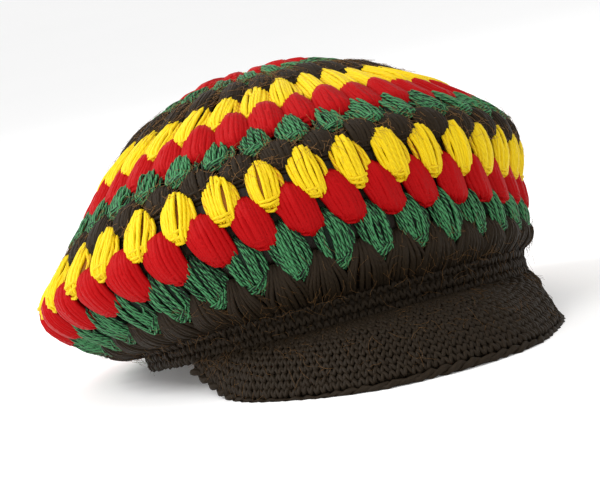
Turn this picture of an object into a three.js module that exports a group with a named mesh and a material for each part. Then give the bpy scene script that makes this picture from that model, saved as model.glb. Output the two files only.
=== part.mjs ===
// A crocheted tam: rounds of puff stitches from the crown's centre to a gathered round,
// a plain band round the head, and a soft peak with a roped edge over the forehead.
// The tam lies by itself, on the back of its rim and on the front edge of its peak.
import * as THREE from "three";

// Driving sizes, in millimetres and degrees
const bandRadius = 88; // outside of the band at the rim, for a 55 cm head
const bandHeight = 10.5; // rim to the top of the band, at the sides
const bandFlare = 2; // how much wider the band is at its top
const crownRadius = 107; // widest round, in the middle of its wall
const crownHeight = 112; // rim to the crown's centre, in the middle of its wall
const sideSlouch = 13; // how far the soft crown hangs over to one side
const backSlouch = 10; // and over to the back
const frontLift = 13; // how much higher the rounds sit in front than at the sides
const sideHang = 0.75; // how much lower the rounds hang at the sides, as a share of a round
const highestTurn = 12; // where the rounds sit highest, to the wearer's right of the front
const wall = 4; // thickness of the crocheted yarn wall
const puffBulge = 3.6; // how far a puff stands out over the wall
const gatherBulge = 5; // how far the gathered strands stand out over the wall
const bandBulge = 0.8; // how far the middle of the band stands out
const scallop = 0.13; // share of a round by which its puff ends reach into the next one
const peakReach = 45; // peak's edge, straight in front of the band
const peakDrop = 25.5; // peak's edge below the rim
const peakHalfAngle = 65; // where the peak starts on the rim, to each side of the front
const peakArch = 0.13; // hump of the peak, as a share of its depth
const edgeRadius = 2.6; // roped edge of the peak
const pressedFlat = 0.8; // how much the yarn flattens where the tam rests
const seam = 0.3; // gap between neighbouring pieces

// Steps of the faceted shapes
const stepsPerPuff = 3;
const bandSteps = 68;
const peakSteps = 32;
const peakRows = 4;
const edgeSides = 6;

const yarns = {
  yellow: new THREE.MeshStandardMaterial({ color: 0xf5d712, roughness: 0.85, metalness: 0 }),
  red: new THREE.MeshStandardMaterial({ color: 0xb8161c, roughness: 0.85, metalness: 0 }),
  green: new THREE.MeshStandardMaterial({ color: 0x24704e, roughness: 0.85, metalness: 0 }),
  black: new THREE.MeshStandardMaterial({ color: 0x2b211c, roughness: 0.9, metalness: 0 }),
};

// One row for each round, from the centre of the crown: its name, yarn and number of puffs,
// then where its outer edge lies, with the radius as a share of crownRadius, the height as a
// share of crownHeight, and its shares of the slouch and of the front lift
const rounds = [
  ["crown_centre", "yellow", 8, 0.145, 0.991, 0.8, 0.15],
  ["round_01_red", "red", 16, 0.29, 0.967, 0.8, 0.32],
  ["round_02_green", "green", 22, 0.416, 0.928, 0.78, 0.43],
  ["round_03_black", "black", 27, 0.525, 0.879, 0.74, 0.53],
  ["round_04_yellow", "yellow", 31, 0.69, 0.768, 0.62, 0.73],
  ["round_05_red", "red", 34, 0.787, 0.676, 0.51, 0.87],
  ["round_06_green", "green", 34, 0.86, 0.608, 0.42, 0.95],
  ["round_07_black", "black", 34, 0.924, 0.541, 0.43, 0.99],
  ["round_08_yellow", "yellow", 34, 0.985, 0.435, 0.74, 0.99],
  ["round_09_red", "red", 34, 1.012, 0.325, 1.14, 0.92],
  ["round_10_green", "green", 34, 0.948, 0.202, 0.72, 0.72],
].map(([name, yarn, puffs, radius, height, slouch, lift]) => {
  return { name, yarn, puffs, radius, height, slouch, lift };
});
const crownEnd = rounds.length;
const gatherEnd = crownEnd + 1;
const rimEnd = gatherEnd + 1;

// The wall's middle line as sections: the crown's centre, each round's edge, the band's top
// and the rim. The first one mirrors the centre round, so that the crown is round on top.
const edgeSections = rounds.map((round) => ({
  radius: round.radius * crownRadius,
  height: round.height * crownHeight,
  slouch: round.slouch,
  lift: round.lift,
}));
const [centreEdge] = edgeSections;
const rimMiddle = bandRadius - wall / 2;
const sections = [
  { ...centreEdge, radius: -centreEdge.radius, lift: -centreEdge.lift },
  { radius: 0, height: crownHeight, slouch: centreEdge.slouch, lift: 0 },
  ...edgeSections,
  { radius: rimMiddle + bandFlare, height: bandHeight, slouch: 0.12, lift: 0.28 },
  { radius: rimMiddle, height: 0, slouch: 0, lift: 0 },
];

// A smooth curve through two columns of a table, evenly spaced from row to row
function columnsCurve(rows, first, second) {
  return new THREE.SplineCurve(rows.map((row) => new THREE.Vector2(row[first], row[second])));
}
const profile = columnsCurve(sections, "radius", "height");
const sway = columnsCurve(sections, "slouch", "lift");

// A point of the wall's middle: row counts rounds from the centre, angle runs from the front.
// The slouch pushes the wall in and out, but not round the head, so each puff stays above the
// next one: the angle is turned back by what the slouch would carry the point sideways. The
// rounds hang down at both sides, and slide back to their places towards the centre and the band.
function wallPoint(row, angle) {
  const level = THREE.MathUtils.clamp(row / gatherEnd, 0, 1);
  const aside = angle + THREE.MathUtils.degToRad(highestTurn);
  const hang = sideHang * Math.sin(Math.PI * level ** 1.5) * Math.sin(aside) ** 2;
  const along = (row + hang + 1) / (sections.length - 1);
  const { x: radius, y: height } = profile.getPoint(along);
  const { x: slouch, y: lift } = sway.getPoint(along);
  const [sideways, backwards] = [-sideSlouch * slouch, backSlouch * slouch];
  const carried = sideways * Math.cos(angle) + backwards * Math.sin(angle);
  const turn = angle - carried / Math.max(radius, crownRadius / 2);
  return new THREE.Vector3(
    radius * Math.sin(turn) + sideways,
    -radius * Math.cos(turn) + backwards,
    height + frontLift * lift * Math.cos(turn),
  );
}

// The same point, moved out of the wall and down it
function offWall(row, angle, outwards, down) {
  const step = 0.01;
  const before = Math.min(row, rimEnd - step);
  const downwards = wallPoint(before + step, angle).sub(wallPoint(before - step, angle)).normalize();
  const around = wallPoint(row, angle + step).sub(wallPoint(row, angle - step)).normalize();
  const normal = downwards.clone().cross(around).normalize();
  return wallPoint(row, angle).addScaledVector(normal, outwards).addScaledVector(downwards, down);
}

// How the tam lies: leaning back until the rim behind and the peak's edge touch the ground
const peakSlope = Math.atan2(peakDrop, peakReach);
const edgeOut = seam + edgeRadius;
const edgeY = bandRadius + peakReach + edgeOut * Math.cos(peakSlope);
const edgeZ = peakDrop + edgeOut * Math.sin(peakSlope) + edgeRadius;
const leanBack = Math.atan2(edgeZ, bandRadius + edgeY);
const groundUp = new THREE.Vector3(0, -Math.sin(leanBack), Math.cos(leanBack));
const rimAboveGround = bandRadius * Math.sin(leanBack) - pressedFlat * Math.cos(leanBack);

function pressOnGround(point) {
  const above = point.dot(groundUp) + rimAboveGround;
  return above < 0 ? point.addScaledVector(groundUp, -above) : point;
}

// A closed skin over loops of points: neighbouring loops are joined, each four-cornered patch
// along its shorter diagonal, and the ends close on two poles, or the last loop joins the first
function skin(loops, poles) {
  const size = loops[0].length;
  const points = loops.flat();
  const faces = [];
  const bands = poles ? loops.length - 1 : loops.length;
  for (let i = 0; i < bands; i += 1) {
    const upper = i * size;
    const lower = ((i + 1) % loops.length) * size;
    for (let j = 0; j < size; j += 1) {
      const next = (j + 1) % size;
      const [a, b, c, d] = [upper + j, lower + j, lower + next, upper + next];
      const acrossAC = points[a].distanceTo(points[c]) < points[b].distanceTo(points[d]);
      faces.push(...(acrossAC ? [a, b, c, a, c, d] : [a, b, d, b, c, d]));
    }
  }
  if (poles) {
    const lastLoop = (loops.length - 1) * size;
    for (let j = 0; j < size; j += 1) {
      const next = (j + 1) % size;
      faces.push(points.length, j, next);
      faces.push(points.length + 1, lastLoop + next, lastLoop + j);
    }
    points.push(...poles);
  }
  const geometry = new THREE.BufferGeometry().setFromPoints(points.map(pressOnGround));
  geometry.setIndex(faces);
  geometry.computeVertexNormals();
  return geometry;
}

// A loop round the head at one row; place gives each angle its row, outward and down offset
function loopRound(steps, firstAngle, place) {
  const points = [];
  for (let i = 0; i < steps; i += 1) {
    const angle = firstAngle + (2 * Math.PI * i) / steps;
    points.push(offWall(...place(angle)));
  }
  return points;
}

// A round of puffs. Each puff leans by a third of its width, and where the next round has as
// many puffs the border between them waves, so that ends and arches reach into each other.
function puffRound(index, bulge) {
  const { puffs } = rounds[Math.min(index, crownEnd - 1)];
  const width = (2 * Math.PI) / puffs;
  const steps = puffs * stepsPerPuff;
  const lean = width / 6;
  const puffsAt = (k) => (k < 0 ? 0 : rounds[Math.min(k, crownEnd - 1)].puffs);
  const wavesAbove = puffsAt(index - 1) === puffs ? scallop : 0;
  const wavesBelow = index < crownEnd && puffsAt(index + 1) === puffs ? scallop : 0;
  const wave = (angle) => Math.sin(angle * puffs);
  const hump = (angle) => (bulge * (1 + Math.cos(angle * puffs))) / 2;
  const border = (row, waves, shift, outwards, down) =>
    loopRound(steps, shift - width / 2, (angle) => [row + waves * wave(angle), angle, outwards, down]);
  const half = wall / 2;
  const crest = loopRound(steps, -width / 2, (angle) => [index + 0.5, angle, half + hump(angle), 0]);
  const lowerOuter = border(index + 1, wavesBelow, lean, half, -seam / 2);
  const lowerInner = border(index + 1, wavesBelow, lean, -half, -seam / 2);
  if (index === 0) {
    return skin([crest, lowerOuter, lowerInner], [offWall(0.01, 0, half, 0), offWall(0.01, 0, -half, 0)]);
  }
  const upperOuter = border(index, wavesAbove, -lean, half, seam / 2);
  const upperInner = border(index, wavesAbove, -lean, -half, seam / 2);
  return skin([upperOuter, crest, lowerOuter, lowerInner, upperInner]);
}

function bandRing() {
  const half = wall / 2;
  const middleRow = (gatherEnd + rimEnd) / 2;
  const at = (row, outwards, down) => loopRound(bandSteps, 0, (angle) => [row, angle, outwards, down]);
  const rimLoop = (radius) =>
    Array.from({ length: bandSteps }, (_, i) => {
      const angle = (2 * Math.PI * i) / bandSteps;
      return new THREE.Vector3(radius * Math.sin(angle), -radius * Math.cos(angle), 0);
    });
  return skin([
    at(gatherEnd, half, seam / 2),
    at(middleRow, half + bandBulge, 0),
    rimLoop(bandRadius),
    rimLoop(bandRadius - wall),
    at(gatherEnd, -half, seam / 2),
  ]);
}

// The peak's edge: its angle as a share of peakHalfAngle, and its shares of reach and drop
const peakEdgeTable = [
  { turn: 0, reach: 1, drop: 1 },
  { turn: 0.23, reach: 0.93, drop: 1 },
  { turn: 0.46, reach: 0.62, drop: 0.93 },
  { turn: 0.65, reach: 0.38, drop: 0.8 },
  { turn: 0.77, reach: 0.2, drop: 0.64 },
  { turn: 0.89, reach: 0.07, drop: 0.36 },
  { turn: 1, reach: 0.01, drop: 0.08 },
];
const peakTurn = columnsCurve(peakEdgeTable, "turn", "reach");
const peakEdgeCurve = columnsCurve(peakEdgeTable, "reach", "drop");

// One cut through the peak: the place of its edge, and its directions along and across it
function peakCut(share) {
  const along = Math.abs(share);
  const angle = Math.sign(share) * peakTurn.getPoint(along).x * THREE.MathUtils.degToRad(peakHalfAngle);
  const { x: reach, y: drop } = peakEdgeCurve.getPoint(along);
  const radial = new THREE.Vector3(Math.sin(angle), -Math.cos(angle), 0);
  const root = radial.clone().multiplyScalar(rimMiddle).setZ(-seam);
  const tip = radial.clone().multiplyScalar(bandRadius + peakReach * reach).setZ(-peakDrop * drop);
  const forth = tip.clone().sub(root);
  const depth = forth.length();
  forth.normalize();
  const slope = forth.dot(radial);
  const upwards = radial.clone().multiplyScalar(-forth.z).setZ(slope);
  return { root, tip, radial, forth, upwards, depth };
}

// The peak's sheet turns out of the rim's direction over the first share of its depth
function peakSheet() {
  const rootTurn = 0.3;
  const loops = [];
  for (let i = 0; i <= peakSteps; i += 1) {
    const { root, radial, forth, upwards, depth } = peakCut((2 * i) / peakSteps - 1);
    const top = [];
    const under = [];
    for (let j = 0; j <= peakRows; j += 1) {
      const share = j / peakRows;
      const across = radial.clone().lerp(upwards, Math.min(1, share / rootTurn)).normalize();
      const middle = root.clone().addScaledVector(forth, depth * share);
      middle.addScaledVector(upwards, peakArch * depth * Math.sin(Math.PI * share));
      top.push(middle.clone().addScaledVector(across, wall / 2));
      under.push(middle.clone().addScaledVector(across, -wall / 2));
    }
    loops.push([...under, ...top.reverse()]);
  }
  return closedStrip(loops);
}

// The skin of a strip of cuts, closed at both ends by fans about the middle of the end cuts
function closedStrip(cuts) {
  const middleOf = (cut) => {
    const sum = cut.reduce((total, point) => total.add(point), new THREE.Vector3());
    return sum.divideScalar(cut.length);
  };
  return skin(cuts, [middleOf(cuts[0]), middleOf(cuts[cuts.length - 1])]);
}

function peakRope() {
  const cuts = [];
  for (let i = 0; i <= peakSteps; i += 1) {
    const { tip, forth, upwards } = peakCut((2 * i) / peakSteps - 1);
    const centre = tip.addScaledVector(forth, seam + edgeRadius);
    const cut = [];
    for (let j = 0; j < edgeSides; j += 1) {
      const turn = (2 * Math.PI * j) / edgeSides;
      const point = centre.clone().addScaledVector(forth, -edgeRadius * Math.cos(turn));
      cut.push(point.addScaledVector(upwards, -edgeRadius * Math.sin(turn)));
    }
    cuts.push(cut);
  }
  return closedStrip(cuts);
}

const tam = new THREE.Group();
tam.rotation.x = -leanBack;
tam.position.z = rimAboveGround;

function addPiece(name, geometry, material) {
  const mesh = new THREE.Mesh(geometry, material);
  mesh.name = name;
  tam.add(mesh);
}

rounds.forEach((round, index) => addPiece(round.name, puffRound(index, puffBulge), yarns[round.yarn]));
addPiece("gather_round", puffRound(crownEnd, gatherBulge), yarns.black);
addPiece("band", bandRing(), yarns.black);
addPiece("peak", peakSheet(), yarns.black);
addPiece("peak_edge", peakRope(), yarns.black);

// The part's origin is under the middle of the tam, on the ground
const group = new THREE.Group();
group.add(tam);
const middle = new THREE.Box3().setFromObject(group, true).getCenter(new THREE.Vector3());
group.position.set(-middle.x, -middle.y, 0);

export default group;
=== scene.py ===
# %% [markdown]
# # A crocheted tam with a peak
# This lesson dresses a plain model of a crocheted tam in its yarn. The real one is worked in
# rounds from the crown's centre outwards: each round is a ring of puff stitches, which are
# small bundles of yarn loops drawn up together. The plain model gives the wall's true shape,
# so everything here is laid on that wall.

import math

import bpy
import numpy as np
from mathutils import Matrix, Vector


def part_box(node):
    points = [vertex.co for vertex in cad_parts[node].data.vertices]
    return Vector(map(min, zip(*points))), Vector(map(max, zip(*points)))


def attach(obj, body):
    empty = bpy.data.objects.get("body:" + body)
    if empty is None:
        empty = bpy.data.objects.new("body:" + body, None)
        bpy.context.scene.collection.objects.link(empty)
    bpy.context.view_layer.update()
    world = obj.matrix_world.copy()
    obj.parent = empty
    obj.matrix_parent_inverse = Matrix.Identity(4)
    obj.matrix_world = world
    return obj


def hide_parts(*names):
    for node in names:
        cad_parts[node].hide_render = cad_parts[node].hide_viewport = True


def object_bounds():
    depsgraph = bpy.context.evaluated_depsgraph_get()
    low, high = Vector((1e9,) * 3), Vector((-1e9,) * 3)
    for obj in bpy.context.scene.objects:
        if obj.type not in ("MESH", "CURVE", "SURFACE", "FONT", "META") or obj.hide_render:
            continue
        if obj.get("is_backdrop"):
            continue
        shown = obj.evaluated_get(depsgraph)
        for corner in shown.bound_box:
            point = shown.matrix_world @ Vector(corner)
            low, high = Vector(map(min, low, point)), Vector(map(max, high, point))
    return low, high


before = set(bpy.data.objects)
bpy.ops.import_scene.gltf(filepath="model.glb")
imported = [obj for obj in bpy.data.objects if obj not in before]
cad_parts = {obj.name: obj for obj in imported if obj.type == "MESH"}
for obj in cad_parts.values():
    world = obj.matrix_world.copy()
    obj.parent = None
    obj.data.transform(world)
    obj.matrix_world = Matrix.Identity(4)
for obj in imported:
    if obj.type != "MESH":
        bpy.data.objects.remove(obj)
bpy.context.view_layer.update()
bpy.ops.object.select_all(action="DESELECT")
dice = np.random.default_rng(7)
MM = 0.001

# %% [markdown]
# ## Camera, floor and light
# The tam rests by itself on the back of its rim and on the edge of its peak. The camera is
# rolled to the tam's angle in the photograph, and a long lens keeps the rounds parallel.
# Soft light from the upper left gives each puff one bright side and one shaded side.

# %% Camera
AZIMUTH = math.radians(-18.0)
ELEVATION = math.radians(7.4)
ROLL = math.radians(12.0)
DISTANCE = 1.25
LENS = 167
SENSOR = 36
MIDDLE_SPOT = Vector((0.0063, 0.0, 0.062))
SHIFT_LEFT = 0.0030
SHIFT_DOWN = 0.0161
backwards = Vector(
    (
        math.sin(AZIMUTH) * math.cos(ELEVATION),
        -math.cos(AZIMUTH) * math.cos(ELEVATION),
        math.sin(ELEVATION),
    )
)
level_right = Vector((math.cos(AZIMUTH), math.sin(AZIMUTH), 0.0))
level_up = backwards.cross(level_right)
right = level_right * math.cos(ROLL) - level_up * math.sin(ROLL)
up = level_right * math.sin(ROLL) + level_up * math.cos(ROLL)
aim = MIDDLE_SPOT - right * SHIFT_LEFT - up * SHIFT_DOWN
bpy.ops.object.camera_add(location=aim + backwards * DISTANCE)
camera = bpy.context.object
camera.name = "camera"
camera.data.lens = LENS
camera.data.sensor_width = SENSOR
camera.rotation_mode = "QUATERNION"
camera.rotation_quaternion = Matrix((right, up, backwards)).transposed().to_quaternion()
bpy.context.scene.camera = camera
bpy.context.scene.view_settings.view_transform = "Standard"
bpy.ops.object.select_all(action="DESELECT")
print("camera", round(math.degrees(camera.data.angle), 1), "degrees wide")

# %% Floor
FLOOR_SIZE = 30
bpy.ops.mesh.primitive_plane_add(size=FLOOR_SIZE, location=(0, 0, 0))
floor = bpy.context.object
floor.name = "floor"
floor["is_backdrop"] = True
bpy.ops.object.select_all(action="DESELECT")
print("floor", floor.dimensions.x, "m wide")


# %% Lights
def add_soft_light(name, azimuth, elevation, distance, size, watts):
    """A square light that faces the tam. Its place is in degrees round from the front and up."""
    a, e = math.radians(azimuth), math.radians(elevation)
    out = Vector((math.sin(a) * math.cos(e), -math.cos(a) * math.cos(e), math.sin(e)))
    bpy.ops.object.light_add(type="AREA", location=aim + out * distance)
    light = bpy.context.object
    light.name = name
    light.data.size = size
    light.data.energy = watts
    light.rotation_mode = "QUATERNION"
    light.rotation_quaternion = (-out).to_track_quat("-Z", "Y")
    bpy.ops.object.select_all(action="DESELECT")


# Name, azimuth, elevation, distance, size and watts
LIGHTS = [
    ("key_light", -62, 42, 1.3, 0.6, 5),
    ("edge_light", -112, 38, 1.3, 0.4, 8),
    ("top_light", 10, 80, 1.4, 1.0, 2),
    ("back_light", 170, 35, 1.6, 1.0, 2),
]
SKY_STRENGTH = 0.85
for row in LIGHTS:
    add_soft_light(*row)
sky = bpy.data.worlds.new("soft_sky")
sky.use_nodes = True
sky.node_tree.nodes["Background"].inputs["Color"].default_value = (1, 1, 1, 1)
sky.node_tree.nodes["Background"].inputs["Strength"].default_value = SKY_STRENGTH
bpy.context.scene.world = sky

# %% [markdown]
# ## The wall of the tam
# Every round, the band and the gathered strands lie on one wall, which is a curve from the
# crown's centre to the rim, swung round the head. The soft crown hangs over to one side and
# to the back. The same numbers shaped the plain model, so yarn that is laid on this wall
# lies on that model too. A place on it is given by its row, counted in rounds from the
# centre, and by its angle from the front. The yarn could also be cast onto the plain model's
# faces, but a formula gives every place and direction at once, and no facets show in it.

# %% The wall's sizes
BAND_RADIUS = 88 * MM
BAND_HEIGHT = 10.5 * MM
BAND_FLARE = 2 * MM
CROWN_RADIUS = 107 * MM
CROWN_HEIGHT = 112 * MM
SIDE_SLOUCH = 13 * MM
BACK_SLOUCH = 10 * MM
FRONT_LIFT = 13 * MM
# How far the rounds hang down at the sides, in rounds, and how low on the wall they do so most
SIDE_HANG = 0.75
HANG_PLACE = 1.5
HIGHEST_TURN = math.radians(12)
WALL = 4 * MM
PEAK_REACH = 45 * MM
PEAK_DROP = 25.5 * MM
PEAK_HALF_ANGLE = math.radians(65)
PEAK_ARCH = 0.13
EDGE_RADIUS = 2.6 * MM
SEAM = 0.3 * MM
PRESSED_FLAT = 0.8 * MM
BAND_BULGE = 0.8 * MM

# Name, yarn, number of puffs, then the outer edge's radius, height, slouch and lift as shares
ROUNDS = [
    ("crown_centre", "yellow", 8, 0.145, 0.991, 0.8, 0.15),
    ("round_01_red", "red", 16, 0.29, 0.967, 0.8, 0.32),
    ("round_02_green", "green", 22, 0.416, 0.928, 0.78, 0.43),
    ("round_03_black", "black", 27, 0.525, 0.879, 0.74, 0.53),
    ("round_04_yellow", "yellow", 31, 0.69, 0.768, 0.62, 0.73),
    ("round_05_red", "red", 34, 0.787, 0.676, 0.51, 0.87),
    ("round_06_green", "green", 34, 0.86, 0.608, 0.42, 0.95),
    ("round_07_black", "black", 34, 0.924, 0.541, 0.43, 0.99),
    ("round_08_yellow", "yellow", 34, 0.985, 0.435, 0.74, 0.99),
    ("round_09_red", "red", 34, 1.012, 0.325, 1.14, 0.92),
    ("round_10_green", "green", 34, 0.948, 0.202, 0.72, 0.72),
]
CROWN_END = len(ROUNDS)
GATHER_END = CROWN_END + 1
RIM_END = GATHER_END + 1
RIM_MIDDLE = BAND_RADIUS - WALL / 2
BAND_TOP_SLOUCH = 0.12
BAND_TOP_LIFT = 0.28
_, _, _, first_radius, first_height, first_slouch, first_lift = ROUNDS[0]
sections = [
    (-first_radius * CROWN_RADIUS, first_height * CROWN_HEIGHT, first_slouch, -first_lift),
    (0, CROWN_HEIGHT, first_slouch, 0),
]
for _, _, _, radius, height, slouch, lift in ROUNDS:
    sections.append((radius * CROWN_RADIUS, height * CROWN_HEIGHT, slouch, lift))
sections.append((RIM_MIDDLE + BAND_FLARE, BAND_HEIGHT, BAND_TOP_SLOUCH, BAND_TOP_LIFT))
sections.append((RIM_MIDDLE, 0, 0, 0))
sections = np.array(sections)
print("wall", len(sections), "sections")


# %% The wall as a smooth surface
def smooth_through(table, position):
    """The Catmull-Rom curve through a table's rows, at positions counted in rows."""
    last = len(table) - 1
    position = np.clip(position, 0, last)
    start = np.minimum(position.astype(int), last - 1)
    t = (position - start)[..., None]
    before = table[np.maximum(start - 1, 0)]
    here = table[start]
    after = table[start + 1]
    beyond = table[np.minimum(start + 2, last)]
    leave = (after - before) / 2
    arrive = (beyond - here) / 2
    return (
        here
        + leave * t
        + (3 * (after - here) - 2 * leave - arrive) * t**2
        + (2 * (here - after) + leave + arrive) * t**3
    )


def wall_point(row, angle):
    """Points on the middle of the wall. The rounds hang lower at both sides."""
    level = np.clip(row / GATHER_END, 0, 1)
    hang = SIDE_HANG * np.sin(math.pi * level**HANG_PLACE) * np.sin(angle + HIGHEST_TURN) ** 2
    radius, height, slouch, lift = np.moveaxis(smooth_through(sections, row + hang + 1), -1, 0)
    sideways = -SIDE_SLOUCH * slouch
    backward = BACK_SLOUCH * slouch
    carried = sideways * np.cos(angle) + backward * np.sin(angle)
    turn = angle - carried / np.maximum(radius, CROWN_RADIUS / 2)
    x = radius * np.sin(turn) + sideways
    y = -radius * np.cos(turn) + backward
    z = height + FRONT_LIFT * lift * np.cos(turn)
    return np.stack([x, y, z], -1)


def unit(vectors):
    return vectors / np.maximum(np.linalg.norm(vectors, axis=-1, keepdims=True), 1e-12)


def on_wall(row, angle, out):
    """Points that stand out from the middle of the wall by out."""
    step = 0.01
    row = np.asarray(row, float)
    angle = np.asarray(angle, float)
    level = np.clip(row, 0.05, RIM_END - step)
    down = wall_point(level + step, angle) - wall_point(level - step, angle)
    around = wall_point(level, angle + step) - wall_point(level, angle - step)
    normal = unit(np.cross(down, around))
    return wall_point(row, angle) + normal * np.asarray(out)[..., None]


def wall_directions(row, angle):
    """Unit directions round the head, down the wall and out of it."""
    step = 0.005
    around = unit(wall_point(row, angle + step) - wall_point(row, angle - step))
    low = np.clip(row, step, RIM_END - step)
    down = unit(wall_point(low + step, angle) - wall_point(low - step, angle))
    return around, down, unit(np.cross(down, around))


print("front of the widest round", np.round(on_wall(9.0, 0.0, 0.0) / MM, 1), "mm")

# %% [markdown]
# ## How the tam lies
# The tam leans back until the back of its rim and the peak's edge touch the floor. All
# pieces are made upright, on the rim's plane, and then leaned in one go. Finished pieces
# could be turned as objects too, but leaned points keep every origin where it is. The plain
# model is centred on its box, so its peak and band tell where its middle went.

# %% Lean and place
peak_slope = math.atan2(PEAK_DROP, PEAK_REACH)
edge_out = SEAM + EDGE_RADIUS
edge_y = BAND_RADIUS + PEAK_REACH + edge_out * math.cos(peak_slope)
edge_z = PEAK_DROP + edge_out * math.sin(peak_slope) + EDGE_RADIUS
LEAN = math.atan2(edge_z, BAND_RADIUS + edge_y)
RIM_ABOVE_FLOOR = BAND_RADIUS * math.sin(LEAN) - PRESSED_FLAT * math.cos(LEAN)
peak_low, peak_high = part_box("peak")
_, band_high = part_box("band")


def lean_back(points):
    """Upright points on the leaned tam, before it is centred."""
    x, y, z = np.moveaxis(points, -1, 0)
    leaned_y = y * math.cos(LEAN) + z * math.sin(LEAN)
    leaned_z = -y * math.sin(LEAN) + z * math.cos(LEAN) + RIM_ABOVE_FLOOR
    return np.stack([x, leaned_y, leaned_z], -1)


BAND_TOP_ROW = GATHER_END - 0.001
BAND_MIDDLE_ROW = GATHER_END + 0.5
JUST_ABOVE_FLOOR = 0.1 * MM
all_round = np.linspace(0, 2 * math.pi, 720)
band_back = -math.inf
for band_row, bulge in ((BAND_TOP_ROW, 0.0), (BAND_MIDDLE_ROW, BAND_BULGE)):
    ring = on_wall(np.full_like(all_round, band_row), all_round, WALL / 2 + bulge)
    band_back = max(band_back, lean_back(ring)[:, 1].max())
MIDDLE = np.array([(peak_low.x + peak_high.x) / 2, band_high.y - band_back, 0.0])


def placed(points):
    """Upright points, leaned back, put in place and pressed flat where they meet the floor."""
    world = lean_back(points) + MIDDLE
    world[..., 2] = np.maximum(world[..., 2], JUST_ABOVE_FLOOR)
    return world


print("lean", round(math.degrees(LEAN), 2), "degrees; middle", np.round(MIDDLE / MM, 2), "mm")

# %% [markdown]
# ## One strand of yarn
# All of the tam is yarn, so a strand is modelled first: a straight rod whose long edges are
# cut into short pieces. Its copies are then bent along the paths of the stitches, as a strand
# of yarn bends. Curves with a round bevel could do it too, but thousands of them are slow, and
# a copied rod keeps its closed ends. Five sides are enough for a strand and three for a loose
# fibre, because the twist of the plies is added by the material.


# %% The strand to copy
def model_strand(sides, pieces):
    """A straight rod along Y with its long edges cut, as plain arrays for copying."""
    bpy.ops.mesh.primitive_cylinder_add(
        vertices=sides, radius=1, depth=1, end_fill_type="NGON", rotation=(-math.pi / 2, 0, 0)
    )
    rod = bpy.context.object
    bpy.ops.object.transform_apply(location=True, rotation=True, scale=True)
    bpy.ops.object.mode_set(mode="EDIT")
    bpy.ops.mesh.select_mode(type="EDGE")
    bpy.ops.mesh.select_all(action="DESELECT")
    bpy.ops.object.mode_set(mode="OBJECT")
    for edge in rod.data.edges:
        first, second = (rod.data.vertices[i].co for i in edge.vertices)
        edge.select = abs(first.y - second.y) > 0.5
    bpy.ops.object.mode_set(mode="EDIT")
    bpy.ops.mesh.subdivide(number_cuts=pieces - 1)
    bpy.ops.object.mode_set(mode="OBJECT")
    mesh = rod.data
    spots = np.array([vertex.co for vertex in mesh.vertices])
    corners = np.array([loop.vertex_index for loop in mesh.loops])
    sizes = np.array([face.loop_total for face in mesh.polygons])
    around = np.array([corner.uv.x for corner in mesh.uv_layers.active.data])
    ring = np.rint((spots[:, 1] + 0.5) * pieces).astype(int)
    bpy.data.objects.remove(rod)
    return {"spots": spots, "ring": ring, "corners": corners, "sizes": sizes, "around": around}


PUFF_PIECES = 10
SHORT_PIECES = 4
FIBRE_PIECES = 4
INNER_PIECES = 204
PUFF_RINGS = PUFF_PIECES + 1
SHORT_RINGS = SHORT_PIECES + 1
FIBRE_RINGS = FIBRE_PIECES + 1
puff_strand = model_strand(5, PUFF_PIECES)
short_strand = model_strand(5, SHORT_PIECES)
stray_fibre = model_strand(3, FIBRE_PIECES)
inner_strand = model_strand(5, INNER_PIECES)
print("strand of", len(puff_strand["spots"]), "points,", len(puff_strand["sizes"]), "faces")


# %% Parts gathered into one piece
made = []


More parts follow.
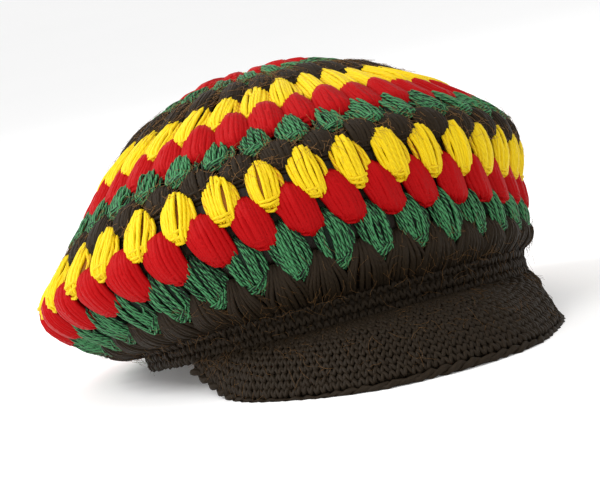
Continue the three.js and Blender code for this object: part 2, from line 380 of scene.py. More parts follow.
class Piece:
    """Collects the parts of one piece of the tam, then makes them one mesh."""

    def __init__(self):
        self.parts = []
        self.count = 0

    def add(self, points, corners, sizes, uvs, shade, depth):
        """One more part: its points, its faces' corners and sizes, and what its yarn looks like."""
        self.parts.append((points, corners + self.count, sizes, uvs, shade, depth))
        self.count += len(points)

    def add_strands(self, strand, centres, outs, thickness, shade, depth):
        """Copies of a strand, one for each row of centres, which holds a point for each ring."""
        ring = strand["ring"]
        rings = centres.shape[1]
        along = unit(np.gradient(centres, axis=1))
        side = unit(np.cross(along, outs))
        outward = np.cross(side, along)
        spots = strand["spots"]
        thickness = np.broadcast_to(thickness, centres.shape[:2])[:, ring, None]
        points = (
            centres[:, ring]
            + thickness * spots[None, :, 0, None] * side[:, ring]
            + thickness * spots[None, :, 2, None] * outward[:, ring]
        )
        lengths = np.linalg.norm(np.diff(centres, axis=1), axis=2)
        so_far = np.concatenate([np.zeros((len(centres), 1)), np.cumsum(lengths, axis=1)], axis=1)
        count = len(centres)
        step = np.arange(count)[:, None] * len(spots)
        corners = (strand["corners"][None, :] + step).ravel()
        sizes = np.tile(strand["sizes"], count)
        corner_ring = ring[strand["corners"]]
        uvs = np.stack(
            [np.tile(strand["around"], (count, 1)), so_far[:, corner_ring] / MM], axis=-1
        ).reshape(-1, 2)
        shade = np.repeat(np.broadcast_to(shade, count), len(spots))
        depth = np.broadcast_to(depth, (count, rings))[:, ring].ravel()
        self.add(points.reshape(-1, 3), corners, sizes, uvs, shade, depth)

    def add_sheet(self, points, shade, depth, wrap_rows, wrap_columns):
        """A sheet over a grid of points, closed into a tube or ring where it wraps."""
        rows, columns = points.shape[:2]
        i, j = np.meshgrid(
            np.arange(rows if wrap_rows else rows - 1),
            np.arange(columns if wrap_columns else columns - 1),
            indexing="ij",
        )
        below = (i + 1) % rows
        beside = (j + 1) % columns
        quads = np.stack(
            [
                i * columns + j,
                below * columns + j,
                below * columns + beside,
                i * columns + beside,
            ],
            axis=-1,
        )
        corner_steps = ((0, 0), (0, 1), (1, 1), (1, 0))
        uv = np.stack([np.stack([j + a, i + b], axis=-1) for a, b in corner_steps], axis=-2)
        self.add(
            points.reshape(-1, 3),
            quads.ravel(),
            np.full(i.size, 4),
            uv.reshape(-1, 2).astype(float),
            np.broadcast_to(shade, rows * columns),
            np.broadcast_to(depth, (rows, columns)).ravel(),
        )

    def make(self, name, yarn, node):
        """The parts as one mesh object, which takes the place of a piece of the plain model."""
        joined = [np.concatenate(part) for part in zip(*self.parts)]
        points, corners, sizes, uvs, shade, depth = joined
        mesh = bpy.data.meshes.new(name)
        mesh.vertices.add(len(points))
        mesh.vertices.foreach_set("co", placed(points).astype(np.float32).ravel())
        mesh.loops.add(len(corners))
        mesh.loops.foreach_set("vertex_index", corners.astype(np.int32))
        mesh.polygons.add(len(sizes))
        mesh.polygons.foreach_set("loop_start", (np.cumsum(sizes) - sizes).astype(np.int32))
        mesh.uv_layers.new(name="yarn")
        mesh.uv_layers["yarn"].data.foreach_set("uv", uvs.astype(np.float32).ravel())
        for title, values in (("shade", shade), ("depth", depth)):
            layer = mesh.attributes.new(title, "FLOAT", "POINT")
            layer.data.foreach_set("value", values.astype(np.float32))
        mesh.update(calc_edges=True)
        mesh.shade_smooth()
        piece = bpy.data.objects.new(name, mesh)
        bpy.context.collection.objects.link(piece)
        mesh.materials.append(YARNS[yarn])
        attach(piece, "root")
        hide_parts(node)
        triangles = int((sizes - 2).sum())
        made.append(triangles)
        print(name, triangles, "triangles")


print("pieces can be gathered")

# %% [markdown]
# ## The yarn's colour, with painted light and shade
# Acrylic yarn is two plies twisted round each other. Each ply catches the light along its
# crest and is dark in the groove beside it, so this light and shade of the twist is painted
# over every strand from its own UV map: round the strand, and along it in millimetres. A strand
# gets painted shade where it dives into the wall, and no two strands have quite the same tone.
# Loose fibres make the surface dull. Plies could be modelled too, but they are finer than anything
# the outline shows.


# %% Sums of sockets
class Wire:
    """One output of a material's nodes. Arithmetic on wires adds Math nodes."""

    def __init__(self, tree, socket=None):
        self.tree = tree
        self.socket = socket

    def node(self, kind, inputs, settings=(), output=0):
        """Adds any node: its settings first, then the values or wires of its sockets."""
        added = self.tree.nodes.new(kind)
        for title, value in dict(settings).items():
            setattr(added, title, value)
        for place, value in inputs.items():
            if isinstance(value, Wire):
                self.tree.links.new(value.socket, added.inputs[place])
            else:
                added.inputs[place].default_value = value
        return Wire(self.tree, added.outputs[output])

    def maths(self, operation, first, second):
        """A sum of two wires or numbers, by the name of the Math node's operation."""
        return self.node("ShaderNodeMath", {0: first, 1: second}, {"operation": operation})

    def __add__(self, other):
        return self.maths("ADD", self, other)

    __radd__ = __add__

    def __sub__(self, other):
        return self.maths("SUBTRACT", self, other)

    def __rsub__(self, other):
        return self.maths("SUBTRACT", other, self)

    def __mul__(self, other):
        return self.maths("MULTIPLY", self, other)

    __rmul__ = __mul__

    def wave(self):
        """From 0 to 1 and back for each whole step of the wire."""
        sine = self.maths("SINE", self * (2 * math.pi), 0.0)
        return sine * 0.5 + 0.5

    def limited(self):
        """The wire kept from 0 to 1."""
        return self.node("ShaderNodeClamp", {0: self})

    def blend(self, low, high):
        """A colour between two colours."""
        return self.node("ShaderNodeMix", {0: self, 6: low, 7: high}, {"data_type": "RGBA"}, 2)


print("sockets can be added and blended")


# %% Yarn colours
def colour(red, green, blue):
    """A colour as a screen shows it, from 0 to 255, in the numbers that light adds up in."""
    shares = np.array([red, green, blue]) / 255
    linear = np.where(shares <= 0.04045, shares / 12.92, ((shares + 0.055) / 1.055) ** 2.4)
    return (*linear.tolist(), 1.0)


# Painted shade: the dark colour of the gaps between stitches, where the wall behind lies in shadow
GAP_SHADE_COLOUR = colour(34, 25, 16)
FIBRE_COLOUR = colour(158, 116, 70)
# Ridges of the plies round a strand, and for each millimetre along it
RIDGES_ROUND = 3
RIDGES_ALONG = 0.26
FIBRE_SCALE = 1800.0
PATCH_SCALE = 90.0
# How much of the twist, of the streaks along a strand and of the fibres there is: first in the
# colour, as painted light and shade mixed with tone, then in the bump
TEXTURE = (0.75, 1.2, 0.4)
RELIEF = (0.5, 0.9, 0.4)
STRAND_DIFFERENCE = 0.45
DEPTH_LIGHT = 1.1
ROUGHNESS = 0.6
BUMP_STRENGTH = 0.6
BUMP_HEIGHT = 0.3 * MM


def yarn_material(name, groove, body, crest, contrast, gloss):
    """A yarn with painted shade in its grooves, its own colour over most of it, and painted
    highlights on the crests of its plies.

    The depth of a place is 0 in the wall and about 1 at the top of a puff, and lower places get
    more painted shade. Below 0 it turns to the painted shade of a gap, and above 1 to the colour of
    a loose fibre.
    """
    material = bpy.data.materials.new(name)
    material.use_nodes = True
    tree = material.node_tree
    surface = tree.nodes["Principled BSDF"]
    start = Wire(tree)
    uv = start.node("ShaderNodeUVMap", {}, {"uv_map": "yarn"})
    around = start.node("ShaderNodeSeparateXYZ", {0: uv}, output=0)
    along = start.node("ShaderNodeSeparateXYZ", {0: uv}, output=1)
    shade = start.node("ShaderNodeAttribute", {}, {"attribute_name": "shade"}, output=2)
    depth = start.node("ShaderNodeAttribute", {}, {"attribute_name": "depth"}, output=2)
    spot = start.node("ShaderNodeTexCoord", {}, output=3)
    fibres = start.node(
        "ShaderNodeTexNoise", {"Vector": spot, "Scale": FIBRE_SCALE, "Detail": 2.0}
    )
    patches = start.node(
        "ShaderNodeTexNoise", {"Vector": spot, "Scale": PATCH_SCALE, "Detail": 1.0}
    )
    ply = (around * RIDGES_ROUND + along * RIDGES_ALONG + patches * 2.0 + shade).wave()
    lengthwise = start.node(
        "ShaderNodeCombineXYZ", {0: around * 7, 1: along * 0.9, 2: shade * 40}
    )
    streaks = start.node(
        "ShaderNodeTexNoise", {"Vector": lengthwise, "Scale": 1.0, "Detail": 2.0}
    )
    texture = (
        (ply - 0.5) * TEXTURE[0] + (streaks - 0.5) * TEXTURE[1] + (fibres - 0.5) * TEXTURE[2]
    )
    difference = (shade - 0.5) * (STRAND_DIFFERENCE * contrast)
    light = (depth * DEPTH_LIGHT + difference + texture * contrast).limited()
    # Painted shade towards the groove colour where the light value is low, painted highlight
    # towards the crest colour where it is high
    shaded = (light * 2).limited().blend(groove, body)
    lit = (light * 2 - 1).limited().blend(shaded, crest)
    # Painted shade of a gap where the depth is below 0
    dark = (depth * -1.0).limited().blend(lit, GAP_SHADE_COLOUR)
    final = (depth - 1.0).limited().blend(dark, FIBRE_COLOUR)
    tree.links.new(final.socket, surface.inputs["Base Color"])
    surface.inputs["Roughness"].default_value = ROUGHNESS
    surface.inputs["Specular IOR Level"].default_value = gloss
    relief = ply * RELIEF[0] + streaks * RELIEF[1] + fibres * RELIEF[2]
    bump = start.node(
        "ShaderNodeBump", {"Height": relief, "Strength": BUMP_STRENGTH, "Distance": BUMP_HEIGHT}
    )
    tree.links.new(bump.socket, surface.inputs["Normal"])
    return material


# Colours of the painted shade in the grooves, of the body, and of the painted highlight on the
# crests, then contrast and gloss
DYES = {
    "yellow": ((182, 108, 0), (224, 190, 1), (236, 204, 6), 0.6, 0.25),
    "red": ((140, 2, 5), (165, 1, 5), (170, 3, 7), 0.2, 0.1),
    "green": ((2, 12, 5), (14, 46, 22), (66, 134, 84), 1.3, 0.25),
    "black": ((32, 25, 16), (36, 28, 19), (42, 33, 22), 0.6, 0.1),
}
YARNS = {}
for dye, (groove, body, crest, contrast, gloss) in DYES.items():
    YARNS[dye] = yarn_material(
        dye + "_yarn", colour(*groove), colour(*body), colour(*crest), contrast, gloss
    )
print("yarns", list(YARNS))


# %% Floor finish
FLOOR_GLOW = 0.12
FLOOR_ROUGHNESS = 0.9
CLOUD_SCALE = 3.0


def floor_material():
    """A pale matt floor with a faint unevenness, as of painted board."""
    material = bpy.data.materials.new("pale_floor")
    material.use_nodes = True
    tree = material.node_tree
    surface = tree.nodes["Principled BSDF"]
    start = Wire(tree)
    spot = start.node("ShaderNodeTexCoord", {}, output=3)
    clouds = start.node("ShaderNodeTexNoise", {"Vector": spot, "Scale": CLOUD_SCALE, "Detail": 2.0})
    pale = clouds.blend(colour(246, 246, 246), colour(250, 250, 250))
    tree.links.new(pale.socket, surface.inputs["Base Color"])
    surface.inputs["Roughness"].default_value = FLOOR_ROUGHNESS
    surface.inputs["Emission Color"].default_value = colour(255, 255, 255)
    surface.inputs["Emission Strength"].default_value = FLOOR_GLOW
    return material


floor.data.materials.append(floor_material())
print("floor finished")

# %% [markdown]
# ## A round of puff stitches
# A puff stitch is a bundle of loops drawn up through one stitch and closed together. Seen
# from outside, its strands rise over a rounded arch, spread into a bulged oval and gather
# again in a blunt end, where three short strands cross them. The arch tucks in between the
# ends of the round before. A puff could be sculpted once and scattered, but on a curved wall
# its copies would stand off it. So one puff is laid out as numbers, and every puff of a round
# is bent to the wall from it, with its own small differences, since no two are alike.

# %% One puff's form
STRANDS = 13
ARCH_TOP = -0.2
PUFF_END = 1.4
PUFF_MIDDLE = 0.6
SHARES = [0, 0.1, 0.25, 0.5, 0.75, 0.9, 1]
SPREAD = [0.72, 0.9, 0.98, 1.0, 0.95, 0.88, 0.74]
ARCH_ROUNDING = 0.3
END_ROUNDING = 0.12
SHOULDER = 0.6
UPRIGHT_SHARE = 0.4
PUFF_BASE = 1.2 * MM
PUFF_BULGE = 4.4 * MM


def puff_place(across, share, form):
    """Across in puff widths, along in rounds and out of the wall, for a place on a puff."""
    spread = np.interp(share, SHARES, SPREAD) * form["width"]
    arch, end = form["arch"], form["end"]
    heights = [-0.2, arch, arch * (1 - SHOULDER) + SHOULDER, 1, 1, end, end - 0.45]
    rise = np.interp(share, SHARES, heights)
    sideways = 0.5 * across * spread + form["lean"] * (share - UPRIGHT_SHARE)
    first = ARCH_TOP + ARCH_ROUNDING * across**2
    last = PUFF_END - END_ROUNDING * across**2 + form["skew"] * across
    along = PUFF_MIDDLE + (first + (last - first) * share - PUFF_MIDDLE) * form["length"]
    out = PUFF_BASE + PUFF_BULGE * rise * np.sqrt(1 - 0.8 * np.minimum(across**2, 1.0))
    return sideways, along, out


print("puff stands", (PUFF_BASE + PUFF_BULGE) / MM, "mm over the middle of the wall")

# %% Rounds of puffs
# How far the puff in front is from the middle of the front, in puffs, for each round
FRONT_PUFF = {4: 0.5, 5: 1.65, 6: 1.28, 7: 0.84, 8: 0.38, 9: -0.035, 10: -0.435}
# How wide a puff is, how far its arch and its end stand out, how far it leans to one side,
# how much longer its strands are on that side, and how long it is
FORMS = {
    4: {"width": 0.86, "arch": 0.7, "end": 0.5, "lean": 0.12, "skew": 0.05, "length": 1.0},
    5: {"width": 0.93, "arch": 0.9, "end": 0.5, "lean": 0.16, "skew": 0.05, "length": 1.05},
    6: {"width": 0.8, "arch": 0.9, "end": 0.95, "lean": 0.14, "skew": 0.05, "length": 1.1},
    7: {"width": 0.84, "arch": 0.3, "end": 0.3, "lean": 0.2, "skew": 0.05, "length": 1.0},
    8: {"width": 0.7, "arch": 0.85, "end": 0.95, "lean": 0.15, "skew": 0.07, "length": 1.14},
    9: {"width": 0.76, "arch": 0.4, "end": 0.9, "lean": 0.28, "skew": 0.07, "length": 1.05},
    10: {"width": 0.78, "arch": 0.4, "end": 1.15, "lean": 0.21, "skew": 0.0, "length": 0.95},
}
CROWN_FORM = {"width": 0.9, "arch": 0.7, "end": 0.6, "lean": 0.12, "skew": 0.05, "length": 1.0}
# Each yarn's radius, how unevenly its strands stand out, and how much painted shade the loops below
# get: lower is darker, and below 0 it goes towards the painted shade of a gap
THICKNESS = {"yellow": 0.92 * MM, "red": 1.55 * MM, "green": 0.74 * MM, "black": 1.15 * MM}
UNEVEN = {"yellow": 0.24 * MM, "red": 0.08 * MM, "green": 0.36 * MM, "black": 0.12 * MM}
HOLLOW_SHADE = {"yellow": -0.4, "red": 0.45, "green": 0.0, "black": 0.1}
# How much the puffs and their strands differ: the lean in puff widths, the place, bow and
# wave in half puff widths, and the length in rounds
LEAN_DIFFERENCE = 0.03
PLACE_DIFFERENCE = 0.025
BOW_DIFFERENCE = 0.03
WAVE_DIFFERENCE = 0.035
LENGTH_DIFFERENCE = 0.02
HEIGHT_DIFFERENCE = 0.3 * MM
# In some puffs of the looser yarns one loop stands apart from the others
LOOSE_YARNS = ("yellow", "green")
OPENING = 0.2
END_STRANDS = [0.84, 0.92, 0.99]
END_THICKNESS = 0.85 * MM
CORE_DEPTH = 1.1 * MM
CORE_THICKNESS = 0.6 * MM
BACKING_OUT = 0.9 * MM
BACKING_IN = 2 * MM
# No row is closer to the crown's centre than this
FIRST_ROW = 0.02


def puff_centres(index, puffs):
    """The angle between two puffs of a round, and the angle of each."""
    pitch = 2 * math.pi / puffs
    return pitch, (np.arange(puffs)[:, None, None] + FRONT_PUFF.get(index, 0.0)) * pitch


def lines_on_wall(row, angle, out):
    """Lines of points that stand out from the wall, and the way out at each point."""
    rings = row.shape[-1]
    centres = on_wall(row, angle, out).reshape(-1, rings, 3)
    return centres, unit(on_wall(row, angle, out + MM).reshape(-1, rings, 3) - centres)


def add_puffs(piece, index, yarn, puffs):
    """The strands of all puffs of one round."""
    pitch, centre = puff_centres(index, puffs)
    a_puff = (puffs, 1, 1)
    a_strand = (puffs, STRANDS, 1)
    form = dict(FORMS.get(index, CROWN_FORM))
    form["lean"] = form["lean"] + dice.normal(0, LEAN_DIFFERENCE, a_puff)
    share = np.linspace(0, 1, PUFF_RINGS)[None, None, :]
    bowed = np.sin(share * math.pi)
    wavy = np.sin(share * 2.5 * math.pi)
    across = np.linspace(-1, 1, STRANDS)[None, :, None]
    across = across + dice.normal(0, PLACE_DIFFERENCE, a_strand)
    across = across + dice.normal(0, BOW_DIFFERENCE, a_strand) * bowed
    across = across + dice.normal(0, WAVE_DIFFERENCE, a_strand) * wavy
    if yarn in LOOSE_YARNS:
        beyond = across > dice.uniform(-0.4, 1.5, a_puff)
        across = across + np.where(beyond, OPENING, 0.0) * np.sin(share**0.65 * math.pi)
    sideways, along, out = puff_place(across, share, form)
    along = along + dice.normal(0, LENGTH_DIFFERENCE, a_strand)
    out = out + dice.normal(0, UNEVEN[yarn], a_strand)
    out = out + dice.normal(0, HEIGHT_DIFFERENCE, a_puff)
    out = out + dice.normal(0, 0.6 * UNEVEN[yarn], a_strand) * wavy
    row = np.maximum(along + index, FIRST_ROW)
    centres, outs = lines_on_wall(row, centre + sideways * pitch, out)
    taper = np.interp(share[0, 0], [0, 0.15, 0.85, 1], [0.7, 1.0, 1.0, 0.6])
    thickness = (taper * THICKNESS[yarn])[None, :]
    shade = dice.uniform(0, 1, puffs * STRANDS)
    # Painted shade: strands are darker the lower they lie towards the wall
    depth = np.clip((out - PUFF_BASE) / PUFF_BULGE, 0.1, 0.75).reshape(-1, PUFF_RINGS)
    piece.add_strands(puff_strand, centres, outs, thickness, shade, depth)


def add_puff_ends(piece, index, puffs):
    """Short strands that cross the gathered end of each puff."""
    pitch, centre = puff_centres(index, puffs)
    share = np.linspace(-1, 1, SHORT_RINGS)[None, None, :]
    place = np.array(END_STRANDS)[None, :, None]
    place = place + dice.normal(0, 0.012, (puffs, len(END_STRANDS), 1))
    across = share * 0.95
    sideways, along, out = puff_place(across, place, FORMS.get(index, CROWN_FORM))
    along = along - share * 0.09 - 0.05 * share**2
    out = out + (0.7 - 1.3 * share**2) * MM
    row = np.maximum(along + index, FIRST_ROW)
    centres, outs = lines_on_wall(row, centre + sideways * pitch, out)
    shade = dice.uniform(0.2, 1, puffs * len(END_STRANDS))
    piece.add_strands(short_strand, centres, outs, END_THICKNESS, shade, 0.5)


def add_puff_cores(piece, index, yarn, puffs):
    """The lower loops of each puff, as one dome with painted shade that shows only between its
    strands.
    """
    pitch = 2 * math.pi / puffs
    share, across = np.meshgrid(
        np.linspace(0.03, 0.97, 8), np.linspace(-0.94, 0.94, 7), indexing="ij"
    )
    sideways, along, out = puff_place(across, share, FORMS.get(index, CROWN_FORM))
    row = np.maximum(along + index, FIRST_ROW)
    top = out - CORE_DEPTH
    for puff in range(puffs):
        angle = (puff + FRONT_PUFF.get(index, 0.0) + sideways) * pitch
        dome = on_wall(row, angle, top)
        under = on_wall(row, angle, np.minimum(top - CORE_THICKNESS, 0.6 * MM))
        grid = np.concatenate([dome, under[:, ::-1]], axis=1)
        # Painted shade: the dome's depth darkens it, and below 0 turns it towards the painted shade
        # of a gap
        piece.add_sheet(grid, 0.3, HOLLOW_SHADE[yarn], False, True)


def closed_ring(first, last, steps, outside, inside):
    """A grid of points down the outside of some rows of the wall and up the inside."""
    row, angle = np.meshgrid(
        np.linspace(first, last, 5),
        np.linspace(0, 2 * math.pi, steps, endpoint=False),
        indexing="ij",
    )
    outer = on_wall(row, angle, np.full_like(row, outside))
    inner = on_wall(row[::-1], angle, np.full_like(row, -inside))
    return np.concatenate([outer, inner])


def add_backing(piece, steps, first, last):
    """The closed wall behind the stitches, which shows through gaps and inside the tam. Its outside
    is painted dark as the shade in those gaps.
    """
    ring = closed_ring(first, last, steps, BACKING_OUT, BACKING_IN)
    # Painted shade: the outside turns to the gap's dark shade, and the inside keeps the yarn's
    # colour
    depth = np.repeat([-1.0, 0.45], len(ring) // 2)[:, None]
    piece.add_sheet(ring, 0.3, depth, True, True)


INNER_SHARES = np.array([0.2, 0.5, 0.8])
INNER_THICKNESS = 1.3 * MM
ROUND_FIBRES = 1400
FIBRE_THICKNESS = 0.065 * MM


def add_inner_loops(piece, rounds_down, puffs):
    """The backs of the stitches: wavy strands that run round the inside of the wall."""
    middle, angle = np.meshgrid(
        rounds_down, np.linspace(0, 2 * math.pi, INNER_PIECES + 1), indexing="ij"
    )
    row = middle + 0.05 * np.sin(angle * puffs)
    out = -2.3 * MM - 0.5 * MM * np.cos(angle * puffs)
    centres, outs = lines_on_wall(row, angle, out)
    shade = dice.uniform(0, 1, len(rounds_down))
    piece.add_strands(inner_strand, centres, outs, INNER_THICKNESS, shade, 0.45)


def add_fibres(piece, starts, ways, outs, colouring):
    """Thin curly fibres that start at given points and wander off; 2 is the palest colouring."""
    count = len(starts)
    share = np.linspace(0, 1, FIBRE_RINGS)[None, :, None]
    length = dice.uniform(3, 10, (count, 1, 1)) * MM
    sideways = np.cross(outs, ways)[:, None]
    curl = np.sin(share * dice.uniform(3, 9, (count, 1, 1)) + dice.uniform(0, 6, (count, 1, 1)))
    bend = dice.normal(0, 0.35, (count, 1, 1)) * length * share**2
    lift = dice.uniform(-0.1, 0.3, (count, 1, 1)) * length * share * (1 - 0.6 * share)
    centres = (
        starts[:, None]
        + ways[:, None] * length * share
        + sideways * (curl * dice.uniform(0.2, 0.8, (count, 1, 1)) * MM + bend)
        + outs[:, None] * (lift + 0.25 * MM * curl)
    )
    shade = dice.uniform(0, 1, count)
    out = np.broadcast_to(outs[:, None], centres.shape)
    piece.add_strands(stray_fibre, centres, out, FIBRE_THICKNESS, shade, colouring)


def add_stray_fibres(piece, count, first, last, out, colouring):
    """Loose fibres over some rows of the wall."""
    row = dice.uniform(first, last, count)
    angle = dice.uniform(0, 2 * math.pi, count)
    around, down, outs = wall_directions(row, angle)
    heading = dice.uniform(0, 2 * math.pi, (count, 1))
    ways = around * np.cos(heading) + down * np.sin(heading)
    starts = wall_point(row, angle) + outs * dice.uniform(0.75, 1.1, (count, 1)) * out
    add_fibres(piece, starts, ways, outs, colouring)


for index, (name, yarn, puffs, *_) in enumerate(ROUNDS):
    piece = Piece()
    add_puffs(piece, index, yarn, puffs)
    add_puff_ends(piece, index, puffs)
    add_puff_cores(piece, index, yarn, puffs)
    add_backing(piece, max(puffs * 3, 48), max(index, FIRST_ROW), index + 1)
    add_inner_loops(piece, index + INNER_SHARES, puffs)
    if yarn == "black":
        add_stray_fibres(piece, ROUND_FIBRES, index, index + 1.2, PUFF_BASE + PUFF_BULGE, 2.0)
    piece.make(name + "_stitches", yarn, name)

# %% [markdown]
# ## The gathered round
# Below the last puffs the black yarn is worked in long stitches that draw the wide crown in
# to the band. Their strands start close together between two puff ends, spread downwards and
# curve under the puffs. Grooves drawn on a smooth ring would do from afar, but the strands
# part and cross at the rim. So they are the same strand again, laid out in wide fans.

# %% Fans of long stitches
FAN_STRANDS = 12
FAN_SPREAD = np.array([[0.32], [0.6], [0.94], [1.06], [1.1]])
FAN_RISE = np.array([[0.2], [0.9], [1.0], [0.7], [0.25]])
FAN_BULGE = 5.8 * MM
FAN_START = CROWN_END - 0.14
FAN_LENGTH = 1.2
FAN_THICKNESS = 1.05 * MM
FANS = 34
# How far the fan in front is from the last round's puff in front, in puffs
FAN_PHASE = 0.64
GATHER_FIBRES = 700
GATHER_SHARES = np.array([0.12, 0.37, 0.62, 0.87])


def add_fans(piece):
    """Fans of long strands, one between every two ends of the last round's puffs."""
    pitch = 2 * math.pi / FANS
    centre = (np.arange(FANS)[:, None, None] + FRONT_PUFF[10] + FAN_PHASE) * pitch
    a_strand = (FANS, FAN_STRANDS, 1)
    share = np.linspace(0, 1, PUFF_RINGS)[None, None, :]
    across = np.linspace(-1, 1, FAN_STRANDS)[None, :, None] + dice.normal(0, 0.05, a_strand)
    spread = smooth_through(FAN_SPREAD, share * (len(FAN_SPREAD) - 1))[..., 0]
    rise = smooth_through(FAN_RISE, share * (len(FAN_RISE) - 1))[..., 0]
    angle = centre + 0.5 * across * spread * pitch
    row = FAN_START + FAN_LENGTH * share + dice.normal(0, 0.02, a_strand)
    out = PUFF_BASE + FAN_BULGE * rise * np.sqrt(1 - 0.35 * np.minimum(across**2, 1))
    out = out + dice.normal(0, 0.15 * MM, a_strand)
    centres, outs = lines_on_wall(row, angle, out)
    # Painted shade: strands are darker the lower they lie towards the wall
    depth = np.clip((out - PUFF_BASE) / FAN_BULGE, 0.1, 0.7).reshape(-1, PUFF_RINGS)
    shade = dice.uniform(0, 1, len(centres))
    piece.add_strands(puff_strand, centres, outs, FAN_THICKNESS, shade, depth)


gather = Piece()
add_fans(gather)
add_backing(gather, FANS * 3, CROWN_END, GATHER_END)
add_inner_loops(gather, CROWN_END + GATHER_SHARES, FANS)
add_stray_fibres(gather, GATHER_FIBRES, CROWN_END, GATHER_END, PUFF_BASE + FAN_BULGE, 1.5)
gather.make("gather_round_stitches", "black", "gather_round")

# %% [markdown]
# ## The band
# The band is worked in tight single crochet, whose stitches look like small fat letters V in
# close rows. One stitch is two short strands. Its copies are set in rows round the outside
# and the inside of a thin closed wall. A height map of such stitches would give the pattern,
# but not the rough edge that the band has.

# %% Single crochet
STITCH_WIDTH = 3.2 * MM
STITCH_HEIGHT = 3.4 * MM
STITCH_THICKNESS = 1.02 * MM


def add_single_crochet(piece, middle, across, down, out, lift):
    """Two short strands for each stitch, given its middle and unit directions."""
    share = np.linspace(0, 1, SHORT_RINGS)[None, :, None]
    count = len(middle)
    each = (count, 1, 1)
    size = 1 + dice.normal(0, 0.1, each)
    for side in (-1, 1):
        sideways = side * (0.04 + 0.48 * share) * STITCH_WIDTH * size
        drop = (0.56 - 1.12 * share) * STITCH_HEIGHT + dice.normal(0, 0.3 * MM, each)
        arch = np.sin(math.pi * (0.08 + 0.84 * share))
        rise = lift * arch + dice.normal(0, 0.2 * MM, each)
        centres = middle[:, None] + across[:, None] * sideways
        centres = centres + down[:, None] * drop + out[:, None] * rise
        outs = np.broadcast_to(out[:, None], centres.shape)
        shade = dice.uniform(0, 1, count)
        piece.add_strands(short_strand, centres, outs, STITCH_THICKNESS, shade, 0.45)


BAND_ROWS = 3
BAND_FACE = 1.3 * MM
BAND_FIBRES = 150
band = Piece()
stitches_round = round(2 * math.pi * BAND_RADIUS / STITCH_WIDTH)
for line in range(BAND_ROWS):
    row = np.full(stitches_round, GATHER_END + (line + 0.5) / BAND_ROWS)
    angle = (np.arange(stitches_round) + 0.5 * (line % 2)) * 2 * math.pi / stitches_round
    around, down, out = wall_directions(row, angle)
    middle = wall_point(row, angle)
    add_single_crochet(band, middle + out * BAND_FACE, around, down, out, 0.9 * MM)
    add_single_crochet(band, middle - out * BAND_FACE, around, down, -out, 0.6 * MM)
band_wall = closed_ring(GATHER_END, RIM_END - 0.06, 180, 1.6 * MM, 1.2 * MM)
# Painted shade: the sheet between the stitches has a lower depth, so it is a little darker
band.add_sheet(band_wall, 0.3, 0.25, True, True)
add_stray_fibres(band, BAND_FIBRES, GATHER_END, RIM_END, 3 * MM, 1.4)
band.make("band_stitches", "black", "band")

# %% [markdown]
# ## The peak
# The peak is a soft flap of the same single crochet, two layers thick, which curves down over
# the forehead. Its rows follow its outer edge. They could run straight across and be trimmed,
# but then they would end at the edge, and real ones don't. A sheet with the plain model's form
# carries the stitches on top and underneath. The cuts through the sheet run from the rim
# outwards, so a place is given by its share of the way round and its share of a cut.

# %% The peak's form
# From the middle of the peak to its end: turn, reach and drop, as shares of the largest
PEAK_CURVE = np.array(
    [
        [0, 1, 1],
        [0.23, 0.93, 1],
        [0.46, 0.62, 0.93],
        [0.65, 0.38, 0.8],
        [0.77, 0.2, 0.64],
        [0.89, 0.07, 0.36],
        [1, 0.01, 0.08],
    ]
)


def peak_cut(share):
    """The root, tip and directions of cuts through the peak, from one end of it to the other."""
    along = np.abs(share) * (len(PEAK_CURVE) - 1)
    turn, reach, drop = np.moveaxis(smooth_through(PEAK_CURVE, along), -1, 0)
    angle = np.sign(share) * turn * PEAK_HALF_ANGLE
    flat = np.zeros_like(angle)
    radial = np.stack([np.sin(angle), -np.cos(angle), flat], -1)
    root = radial * RIM_MIDDLE - np.array([0, 0, SEAM])
    tip = radial * (BAND_RADIUS + PEAK_REACH * reach)[..., None]
    tip[..., 2] = -PEAK_DROP * drop
    forth = tip - root
    depth = np.linalg.norm(forth, axis=-1, keepdims=True)
    forth = forth / depth
    slope = (forth * radial).sum(-1, keepdims=True)
    upwards = -forth[..., 2:] * radial + slope * np.array([0, 0, 1.0])
    return root, tip, radial, forth, upwards, depth


def peak_point(share, inwards, off):
    """A point of the peak: round its edge, along its cut, and off its middle."""
    root, _, radial, forth, upwards, depth = peak_cut(share)
    inwards = inwards[..., None]
    turn = np.minimum(1, inwards / 0.3)
    across = unit(radial * (1 - turn) + upwards * turn)
    arch = upwards * PEAK_ARCH * depth * np.sin(math.pi * inwards)
    middle = root + forth * depth * inwards + arch
    return middle + across * np.asarray(off)[..., None]


print("peak is", round(float(peak_cut(np.array([0.0]))[5][0, 0]) / MM, 1), "mm deep in front")

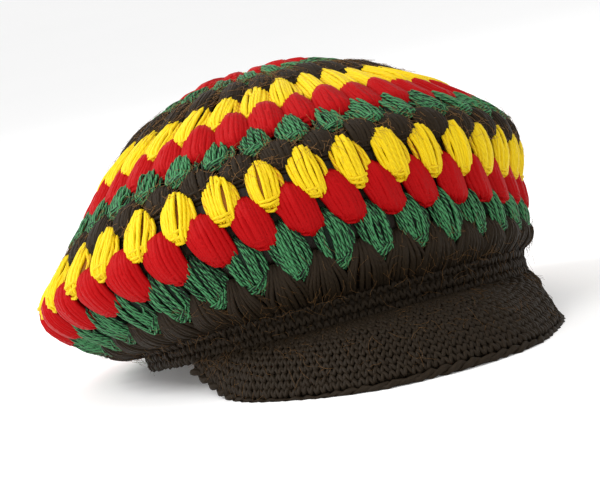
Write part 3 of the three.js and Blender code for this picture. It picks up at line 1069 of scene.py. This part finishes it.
# %% Rows of stitches that follow the peak's edge
PEAK_ROWS_AT_MOST = 16
FIRST_ROW_SHARE = 0.35
PEAK_FACE = 1.2 * MM
PEAK_FIBRES = 300
TOP_RISE = 0.9 * MM
UNDER_RISE = 0.8 * MM
NEARBY = 0.002
peak = Piece()
fine = np.linspace(-0.995, 0.995, 1200)
depths = peak_cut(fine)[5][:, 0]
for line in range(PEAK_ROWS_AT_MOST):
    from_edge = (line + FIRST_ROW_SHARE) * STITCH_HEIGHT
    inwards = 1 - from_edge / depths
    here = inwards > 0.02
    if here.sum() < 40:
        break
    curve = peak_point(fine, np.clip(inwards, 0, 1), np.zeros_like(fine))
    steps = np.linalg.norm(np.diff(curve, axis=0), axis=1) * here[1:]
    lengths = np.concatenate([[0], np.cumsum(steps)])
    count = int(lengths[-1] / STITCH_WIDTH)
    place = (np.arange(count) + 0.5 + 0.5 * (line % 2)) / (count + 0.5) * lengths[-1]
    share = np.interp(place, lengths[here], fine[here])
    depth = np.interp(share, fine, depths)
    inward = 1 - from_edge / depth
    none = np.zeros(count)
    ahead, behind = (peak_point(share + side * NEARBY, inward, none) for side in (1, -1))
    outer, inner = (peak_point(share, inward + side * NEARBY, none) for side in (1, -1))
    around, forth = unit(ahead - behind), unit(outer - inner)
    upward = unit(np.cross(forth, around))
    for side, rise in ((1, TOP_RISE), (-1, UNDER_RISE)):
        face = peak_point(share, inward, none + side * PEAK_FACE)
        add_single_crochet(peak, face, around, forth, upward * side, rise)
print("rows of stitches on the peak", line)
grid_share, grid_in = np.meshgrid(np.linspace(-1, 1, 65), np.linspace(0, 1, 9), indexing="ij")
top = peak_point(grid_share, grid_in, np.full_like(grid_in, 1.5 * MM))
under = peak_point(grid_share, grid_in, np.full_like(grid_in, -1.4 * MM))
# Painted shade: the sheet between the stitches has a lower depth, so it is a little darker
peak.add_sheet(np.concatenate([top, under[:, ::-1]], axis=1), 0.3, 0.25, False, True)
fibre_share = dice.uniform(-0.9, 0.9, PEAK_FIBRES)
fibre_in = dice.uniform(0.1, 1, PEAK_FIBRES)
fibre_off = np.full(PEAK_FIBRES, 2.6 * MM)
starts = peak_point(fibre_share, fibre_in, fibre_off)
aside = unit(peak_point(fibre_share + NEARBY, fibre_in, fibre_off) - starts)
ahead = unit(peak_point(fibre_share, fibre_in - NEARBY, fibre_off) - starts)
heading = dice.uniform(0, 2 * math.pi, (PEAK_FIBRES, 1))
ways = aside * np.cos(heading) + ahead * np.sin(heading)
add_fibres(peak, starts, ways, unit(np.cross(aside, ahead)), 1.4)
peak.make("peak_stitches", "black", "peak")

# %% [markdown]
# ## The roped edge
# A last round of reverse single crochet finishes the peak with a twisted edge that looks like
# a thin rope. A screw modifier or a bevelled curve could make it, but the edge's path is known
# already. So two fat strands wind round each other along it.

# %% Rope
ROPE_PIECES = 180
ROPE_TURN = 13.5 * MM
ROPE_WIDTH = 1.35 * MM
ROPE_THICKNESS = 1.45 * MM
rope_strand = model_strand(8, ROPE_PIECES)
share = np.linspace(-1, 1, ROPE_PIECES + 1)
_, tip, _, forth, upwards, _ = peak_cut(share)
middle = tip + forth * (SEAM + EDGE_RADIUS)
run = np.concatenate([[0], np.cumsum(np.linalg.norm(np.diff(middle, axis=0), axis=1))])
turns = run / ROPE_TURN * 2 * math.pi
edge = Piece()
for ply in range(2):
    turn = turns + ply * math.pi
    aside = forth * np.cos(turn)[:, None] + upwards * np.sin(turn)[:, None]
    wound = (middle + aside * ROPE_WIDTH)[None]
    shade = [0.3 + 0.3 * ply]
    edge.add_strands(rope_strand, wound, upwards[None], ROPE_THICKNESS, shade, 0.45)
edge.make("peak_edge_rope", "black", "peak_edge")

# %% [markdown]
# ## Size
# The yarn stands only a few millimetres off the plain model, so either can take the other's place.
# The box of the shown pieces is printed, with the number of triangles.

# %% Size
shown_low, shown_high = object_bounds()
shown_size = [round(side / MM, 1) for side in shown_high - shown_low]
print("shown", shown_size, "mm,", sum(made), "triangles")
